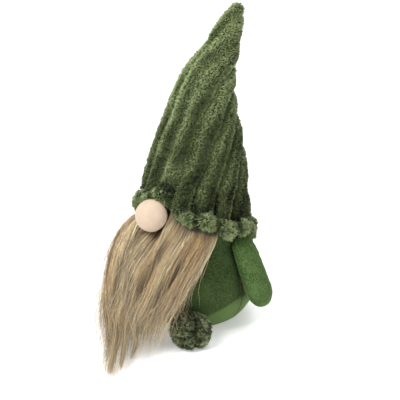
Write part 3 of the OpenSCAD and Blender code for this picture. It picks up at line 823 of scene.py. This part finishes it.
# ---------------------------------------------------------------- feet
FOOT_L, FOOT_W, FOOT_Z, FOOT_H, FOOT_OUT = 18.0, 20.0, 16.0, 19.5, 76.8
FOOT_TURN = {"left": 37.0, "right": -31.0}
FOOT_PILE_DRAW = {"left": 70, "right": 90}
for side, turn in FOOT_TURN.items():
    foot = ball(side + "_foot_cover", 72, 48, radius=1)
    v = corners(foot) * MM
    u = v[:, 2]
    f = np.sqrt(np.clip(1 - u**2, 0, 1))
    b = np.arctan2(v[:, 1], v[:, 0])
    x = (FOOT_W - 2.2) * f * np.cos(b)
    z = FOOT_Z + (FOOT_H - 2.4) * f * np.sin(b)
    groove = bell(x - 5.5, 3.2) + 0.35 * bell(x + 5.5, 2.4)
    front = soft((u + 0.2) / 0.8)
    z = np.maximum(z + 0.9 * cloudy(np.stack([x, z, u * 18], -1), 17, 41), 0.9)
    y = -(FOOT_L - 1.8) * u * (1 - 0.42 * groove * front - 0.16 * soft((-x - 7) / 9) * front)
    y = np.minimum(y, FOOT_L * 0.62)
    z = z + (3.2 * (z < 9) - 2.2 * (z > 12)) * groove * front
    place(foot, turned(np.stack([x, y - FOOT_OUT, z], -1), turn))
    outward(foot)
    note(foot, "line", np.zeros(len(v)))
    notch = np.clip(groove * front, 0, 1)
    dress(foot, foot_knit, side + "_foot", [side + "_foot_shell"])
    # The pile in the notch between the lobes is painted darker: painted shade.
    tufts = pile(side + "_foot_pile", foot, 9500, 3.5, 0.44, (foot_dark, foot_main, foot_pale),
                 FOOT_PILE_DRAW[side],
                 weight=lambda p, tri: (p[:, 2] > 1.6) * (1.0 - 0.8 * notch[tri].mean(1)),
                 clump=2.7, pull=0.72, patch=14, spread=0.36, uneven=0.4, shade=-0.5 * notch)
    above_ground = corners(tufts)
    above_ground[:, 2] = np.maximum(above_ground[:, 2], 0.25)
    place(tufts, above_ground)
    dress(tufts, hat_pile_paint, side + "_foot")


# ---------------------------------------------------------------- beard
# The flow of the beard, given along its length: how far down it a place is, then its height, its
# outer radius, the angles of its two edges and its inner radius.
flow = np.array([
    [0, 106, 57, -71, 69, 48],
    [6, 100, 67, -68, 65, 48],
    [16, 90, 77, -63, 56, 50],
    [24, 82, 84, -57, 47.5, 52],
    [40, 66, 92, -46, 36, 57],
    [59, 47, 99, -34, 27.5, 62],
    [73, 33, 104, -26, 22, 70],
    [88, 20, 110, -16, 20, 80],
    [104, 8, 121, -8, 21, 94],
    [130, 3, 140, -3, 18, 120],
    [160, 2.5, 152, 0, 17, 140]])
# The tail that runs on from it: how far down, height, outer radius, half width and middle angle.
tail = np.array([
    [59, 47, 99, 24, -6],
    [73, 33, 105, 13, -9],
    [88, 21, 117, 6.5, 0],
    [104, 11, 134, 3.4, 4.6],
    [122, 5.0, 152, 2.6, 8.2],
    [142, 2.4, 166, 2.2, 10.6],
    [160, 2.0, 168, 2.0, 11.4]])


def on(table, column, c):
    return np.interp(c, table[:, 0], table[:, column])


foot_room = np.array([FOOT_W, FOOT_L, FOOT_H]) + 2.5
# The furthest that loose hair lies in front of the beard's end.
LOOSE_HAIR = 14.0
beard_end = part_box("beard_fur")[0][1] / MM


def keep_out(p):
    """Moves hair points out of the body, the nose and the feet, and up off the ground."""
    off = p - nose
    far = np.linalg.norm(off, axis=-1, keepdims=True)
    p = np.where(far < nose_r + 0.8, nose + off / np.maximum(far, 0.1) * (nose_r + 0.8), p)
    for turn in FOOT_TURN.values():
        spot = polar(turn, FOOT_OUT, FOOT_Z)
        q = turned(p - spot, -turn)
        near = np.linalg.norm(q / foot_room, axis=-1, keepdims=True)
        p = turned(np.where(near < 1, q / np.maximum(near, 0.05), q), turn) + spot
    r = np.hypot(p[..., 0], p[..., 1])
    need = body_r(np.clip(p[..., 2], 0.5, NECK_Z)) + 1.6
    grow = np.where((r < need) & (p[..., 2] > 0), need / np.maximum(r, 1), 1)
    return np.stack([p[..., 0] * grow, p[..., 1] * grow, np.maximum(p[..., 2], 0.9)], -1)


def fur_top(angle):
    """How high the fur begins: close under the ruffle, and just below the nose in the middle."""
    under_nose = nose[2] - nose_r + 2
    beside = np.clip((np.abs(angle) - 8) / 6, 0, 1)
    return under_nose + (brim_height(angle) - 7.5 - under_nose) * beside


def hair_at(lateral, layer, c, tail_share, tail_side):
    """Places along hairs: lateral -1 to 1 across the beard, layer 0 to 1 out from the body, c down it."""
    full = 1 - 0.42 * np.abs(lateral) ** 3
    z = on(flow, 1, c)
    inner = np.maximum(on(flow, 5, c), body_r(z) + 2.2)
    r = inner + (on(flow, 2, c) - inner) * layer * full
    angle = on(flow, 3, c) + (on(flow, 4, c) - on(flow, 3, c)) * (lateral + 1) / 2
    rise = (fur_top(angle) - flow[0, 1]) * soft(1 - c / 50)
    there = polar(angle, r, z + rise + layer * 2.0)
    r2 = on(tail, 2, c) * (1 - 0.10 * (1 - layer) * np.clip((110 - c) / 60, 0, 1))
    angle2 = on(tail, 4, c) + tail_side * on(tail, 3, c)
    away = polar(angle2, r2, on(tail, 1, c) + layer * 5 * np.clip((150 - c) / 90, 0, 1))
    share = tail_share * soft((c - 52) / 34)
    return there + (away - there) * share[..., None]


def beard_locks(count=420):
    """The locks that hairs gather to: across, layer, a sway, a length and a shade for each."""
    rng = np.random.default_rng(900)
    lock = np.stack([rng.uniform(-1, 1, count), rng.uniform(0, 1, count), rng.uniform(0, 1, count),
                     rng.normal(0, 1, count), rng.uniform(-1, 1, count)], 1)
    lock[:, 0] = np.sign(lock[:, 0]) * np.abs(lock[:, 0]) ** 0.9
    return lock


def beard_colours(rng, lat, lay, c, t, own):
    """Dark at the root, tan along most of it and straw at the tip, with darker streaks along the flow."""
    count = len(own)
    where = np.stack([lat * 62, lay * 16, c * 0.42], -1)
    streak = cloudy(where, 15, 610) * 0.9 + cloudy(where, 6, 611) * 0.6
    streak = streak + rng.normal(0, 0.3, (count, 1))
    dark = np.clip((streak + 0.06) * 1.7, 0, 1) * np.clip(0.3 + t, 0, 1)
    mottle = 0.5 + 0.55 * cloudy(where, 22, 612) + 0.12 * own[:, 4][:, None]
    mottle = np.clip(mottle + rng.normal(0, 0.22, (count, 1)), 0, 1)
    main = fur_main + (fur_pale - fur_main) * mottle[..., None] * 0.75
    colour = main + (fur_dark - main) * (dark * 0.95)[..., None]
    colour = colour * (0.62 + 0.38 * soft(t * 5))[..., None]
    colour = colour + (fur_pale - colour) * (np.clip((t - 0.66) / 0.34, 0, 1) * 0.6)[..., None]
    fringe = soft((lat - 0.86) / 0.14) * 0.6
    colour = colour + (fur_pale * 1.02 - colour) * fringe[..., None]
    colour = colour * np.exp(rng.normal(0.07, 0.32, (count, 1, 1)))
    grey = (rng.uniform(0, 1, count) < 0.10)[:, None, None]
    colour = np.where(grey, colour * 0.45 + linear(112, 104, 96) * 0.5, colour)
    return colour * 1.06


def beard_hairs(name, count, seed, wild=1.0, thick=0.25, points=7, longer=0.0):
    """Long hairs of the beard. wild is how far they stray, longer how much longer some of them are."""
    rng = np.random.default_rng(seed)
    lock = beard_locks()
    # Where each hair is rooted: across the backing, thicker along the top edge.
    lateral = rng.uniform(-1, 1, count)
    root = 1 + 60 * rng.uniform(0, 1, count) ** 1.35
    root = np.where(np.abs(lateral) > 0.8, root * 0.75, root)
    layer = np.clip(1.02 - root / 62 + rng.normal(0, 0.10, count), 0.03, 1.06)
    far = (((lateral[:, None] - lock[None, :, 0]) * 2.6) ** 2
           + ((layer[:, None] - lock[None, :, 1]) * 1.1) ** 2)
    own = lock[np.argmin(far + rng.uniform(0, 0.01, far.shape), 1)]
    # Hairs of the tail come from the middle and the right of the beard, and run on to its tip.
    chance = np.interp(lateral, [-1, -0.9, -0.55, 0.1, 0.35], [0.1, 0.38, 0.48, 0.22, 0.0])
    tail_share = ((rng.uniform(0, 1, count) < chance) & (layer > 0.25)).astype(float)
    tail_side = np.clip((lateral + 0.38) / 0.55 + rng.normal(0, 0.15, count), -1, 1)
    # The tail parts into wisps. Each ends so far down, and so far to one side.
    ends = np.array([104, 116, 132, 142, 122, 108, 130, 98, 112])
    sides = np.array([-0.7, -0.35, -0.15, 0.0, 0.1, 0.3, 1.6, 0.7, 2.6])
    wisp = ((tail_side + 1) / 2 * len(ends) + rng.normal(0, 0.25, count)).astype(int)
    wisp = np.clip(wisp, 0, len(ends) - 1)
    wisp_end, wisp_side = ends[wisp], sides[wisp]
    end = 79 + 8 * own[:, 3] + rng.normal(0, 3.0, count)
    end = end + np.interp(lateral, [-1, -0.6, 0.2, 0.8, 1], [5, 3, -5, -10, -15])
    end = np.where(tail_share > 0, wisp_end - 30 * rng.uniform(0, 1, count) ** 1.6, end)
    end = np.maximum(end + longer * rng.uniform(0, 1, count), root + 26)
    t = np.linspace(0, 1, points)[None]
    c = root[:, None] + (end - root)[:, None] * t
    gather = 0.26 * soft(t * 1.2) + 0.5 * soft((t - 0.5) / 0.5)
    lat = lateral[:, None] + (own[:, 0] - lateral)[:, None] * gather * 0.9
    lat = lat + rng.normal(0, 0.09, (count, 1)) * t * (1 - t * 0.5)
    lay = layer[:, None] + (own[:, 1] * 0.5 + layer * 0.5 - layer)[:, None] * gather
    rise = 1 - np.exp(-(c - root[:, None]) / 9.0)
    tails = np.broadcast_to(tail_share[:, None], c.shape)
    parting = soft((c - 70) / (wisp_end - 70)[:, None])
    tail_sides = tail_side[:, None] + (wisp_side - tail_side)[:, None] * parting
    p = hair_at(lat, lay * rise + 0.02, c, tails, tail_sides)
    sway = np.stack([cloudy(own[:, :3] * 60 + (i * 37, 0, 0), 30, 500 + i) for i in range(3)], -1)
    calm = (1 - 0.7 * tail_share)[:, None, None]
    p = p + sway[:, None] * 2.2 * (t**1.2)[..., None] * wild * calm
    p = p + np.stack([cloudy(p, 24, 520 + i) for i in range(3)], -1) * 0.9 * t[..., None]
    turns, start = rng.uniform(0.7, 1.9, (count, 1, 1)), rng.uniform(0, 1, (count, 1, 3))
    curl = np.sin(TAU * (t[..., None] * turns + start)) * np.array([1, 1, 0.5])
    p = p + curl * rng.uniform(0.2, 1.1, (count, 1, 1)) * (t * (1.2 - 0.6 * t))[..., None] * wild**0.5
    loose = rng.normal(0, 1, (count, 3))
    astray = np.where(rng.uniform(0, 1, count) < 0.07 * wild**2, 5.5 + 2.2 * wild, 1.6)[:, None]
    away = unit((p + np.array([0, 45, 0])) * np.array([1, 1, 0.2]))
    away = away * (1 - 0.75 * tail_share[:, None, None] * (1 if wild < 2 else 0.4))
    lifted = 4.4 * (wild - 1) * wild**0.5 * rng.uniform(0, 1, (count, 1, 1)) ** 1.3
    p = p + away * lifted * t[..., None] ** 1.2
    p = p + away * rng.uniform(0, 1, (count, 1, 1)) ** 3 * 2.6 * t[..., None]
    stray = (loose * astray)[:, None] * np.array([1, 1, 0.6]) * (0.15 + 0.85 * calm)
    p = p + stray * (t**1.6)[..., None]
    for _ in range(2):
        p = keep_out(p)
    p[..., 1] = np.maximum(p[..., 1], beard_end - LOOSE_HAIR)
    colour = beard_colours(rng, lat, lay, c, t, own)
    return hairs(name, p, thick * rng.uniform(0.6, 1.3, count), colour, seed)


for number in range(4):
    lock = beard_hairs("beard_hair_%d" % (number + 1), 5200, 300 + number)
    dress(lock, fur_paint, "torso", ["beard_fur"] if number == 0 else ())

loose_hair = beard_hairs("beard_loose_hair", 2200, 350, wild=3.2, thick=0.17, points=8, longer=34.0)
dress(loose_hair, fur_paint, "torso")

# The dense under-fur, a soft body that the long hairs lie over.
tall, wide = 40, 48
c = np.linspace(5, 74, tall)[:, None]
lat = np.linspace(-0.9, 0.9, wide)[None]
c2, lat2 = np.broadcast_arrays(c, lat)
zero = np.zeros_like(c2)
rounded = np.sqrt(np.clip(1 - (np.abs(lat2) / 0.92) ** 4, 0, 1))
depth = 0.60 * rounded * np.clip((c2 - 2) / 14, 0.1, 1) * (1 - 0.6 * soft((c2 - 60) / 14))
front = hair_at(lat2, depth, c2, zero, zero)
front = front + 0.8 * np.stack([cloudy(front * (1, 1, 0.3), 12, 700 + i) for i in range(3)], -1)
rear = hair_at(lat2, zero, c2, zero, zero)
rows = np.concatenate([front, rear[:, ::-1]], 1)
under = skin("beard_underfur", keep_out(rows))
both = np.concatenate([lat2, lat2[:, ::-1]], 1).ravel() * 0.062
note(under, "across", np.concatenate([both, [0, 0]]))
note(under, "down", np.concatenate([np.concatenate([c2, c2], 1).ravel() * 0.0001, [0, 0]]))
under_paint = Paint("under_fur", rough=0.9, sheen=0.2)
streaks = under_paint.noise(1.6, 4, where=under_paint.add(
    "ShaderNodeCombineXYZ", X=under_paint.read("across"), Y=under_paint.read("down")).outputs[0], rough=0.7)
under_colour = under_paint.ramp(
    streaks, (0.35, fur_dark * 0.8), (0.55, fur_main * 0.65), (0.75, fur_main * 0.9))
dress(under, under_paint.finish(under_colour, streaks, 1.2, 0.8), "torso")

# The backing that the fur is knitted into, sewn to the body's front.
tall, wide = 30, 48
c = np.linspace(2, 56, tall)[:, None]
lat = np.linspace(-0.97, 0.97, wide)[None]
c2, lat2 = np.broadcast_arrays(c, lat)
zb = on(flow, 1, c2)
backing_angle = on(flow, 3, c2) + (on(flow, 4, c2) - on(flow, 3, c2)) * (lat2 + 1) / 2
backing_points = polar(backing_angle, body_r(np.minimum(zb, NECK_Z)) + 1.9, zb)
backing = open_grid("beard_backing_knit", backing_points, tall, wide)
outward_open(backing)
note(backing, "crease", np.zeros(len(backing.data.vertices)))
apply(backing, "SOLIDIFY", thickness=0.8 * MM, offset=-1, use_rim=True)
dress(backing, backing_knit, "torso", ["beard_backing"])


# ---------------------------------------------------------------- the pieces that stay as they are
inside = {
    "body_stuffing": filling, "hat_stuffing": filling, "left_arm_stuffing": filling,
    "right_arm_stuffing": filling, "left_foot_stuffing": filling, "right_foot_stuffing": filling,
    "crown_tie": thread_paint, "nose_tie": thread_paint, "left_arm_thread": thread_paint,
    "right_arm_thread": thread_paint, "weight_pouch": cotton_paint, "weight_pellets": pellet_paint,
    "base_card": card_paint, "nose_ball": foam_paint}
# How far each filling is drawn in, to lie under the deepest folds of its cover.
FILLING_EASE = {"hat_stuffing": 7.0, "left_foot_stuffing": 4.5, "right_foot_stuffing": 4.5}
OTHER_EASE = 2.8
for node, paint in inside.items():
    ob = frame["nodes"][node]
    if paint is filling:
        ob.modifiers.new("join", "WELD").merge_threshold = 0.05 * MM
        ease = ob.modifiers.new("ease", "DISPLACE")
        ease.mid_level, ease.strength = 0, -FILLING_EASE.get(node, OTHER_EASE) * MM
    ob.data.materials.clear()
    ob.data.materials.append(paint)


# ---------------------------------------------------------------- stage, light and camera
bpy.ops.mesh.primitive_plane_add(size=12, location=(0, 0, -0.0006))
floor = bpy.context.object
floor.name = "floor"
floor_paint = Paint("floor", rough=0.9)
floor.data.materials.append(floor_paint.finish(floor_paint.ramp(
    floor_paint.noise(400, 2), (0.0, (0.93, 0.93, 0.93)), (1.0, (0.95, 0.95, 0.95)))))
for key, value in (("Emission Color", (1, 1, 1, 1)), ("Emission Strength", 0.3)):
    floor_paint.shader.inputs[key].default_value = value

world = bpy.data.worlds.new("studio")
bpy.context.scene.world = world
world.use_nodes = True
sky = world.node_tree.nodes["Background"]
sky.inputs["Color"].default_value = (1, 1, 1, 1)
sky.inputs["Strength"].default_value = 0.5

# right, away and up are the view's own directions: across it, towards the camera and up it.
azimuth, elevation = math.radians(40), math.radians(24)
right = np.array([math.cos(azimuth), math.sin(azimuth), 0])
away = np.array([right[1] * math.cos(elevation), -right[0] * math.cos(elevation), math.sin(elevation)])
up = np.array([-right[1] * math.sin(elevation), right[0] * math.sin(elevation), math.cos(elevation)])


def lamp(name, spot, size, power):
    """A soft square light that looks at the gnome."""
    bpy.ops.object.light_add(type="AREA", location=tuple(spot))
    ob = bpy.context.object
    ob.name = name
    ob.data.size = size
    ob.data.energy = power
    aim = np.array([0, 0, 0.12]) - spot
    ob.rotation_euler = Vector(aim).to_track_quat("-Z", "Y").to_euler()


lamp("key", away * 0.9 - right * 0.9 + np.array([0, 0, 1.1]), 0.7, 30)
lamp("fill", away * 0.9 + right * 1.2 + np.array([0, 0, 0.5]), 1.2, 4)
lamp("top", np.array([0, 0.3, 1.7]), 0.9, 13)

bpy.ops.object.camera_add()
camera = bpy.context.object
camera.data.lens = 270
camera.data.sensor_width = 36
camera.data.clip_end = 20
looks_at = (5.3 * right + 113 * up + 40 * away) * MM
camera.location = tuple(looks_at + away * 3.0)
camera.rotation_euler = (math.pi / 2 - elevation, 0, azimuth)
bpy.context.scene.camera = camera
bpy.context.scene.view_settings.view_transform = "Standard"
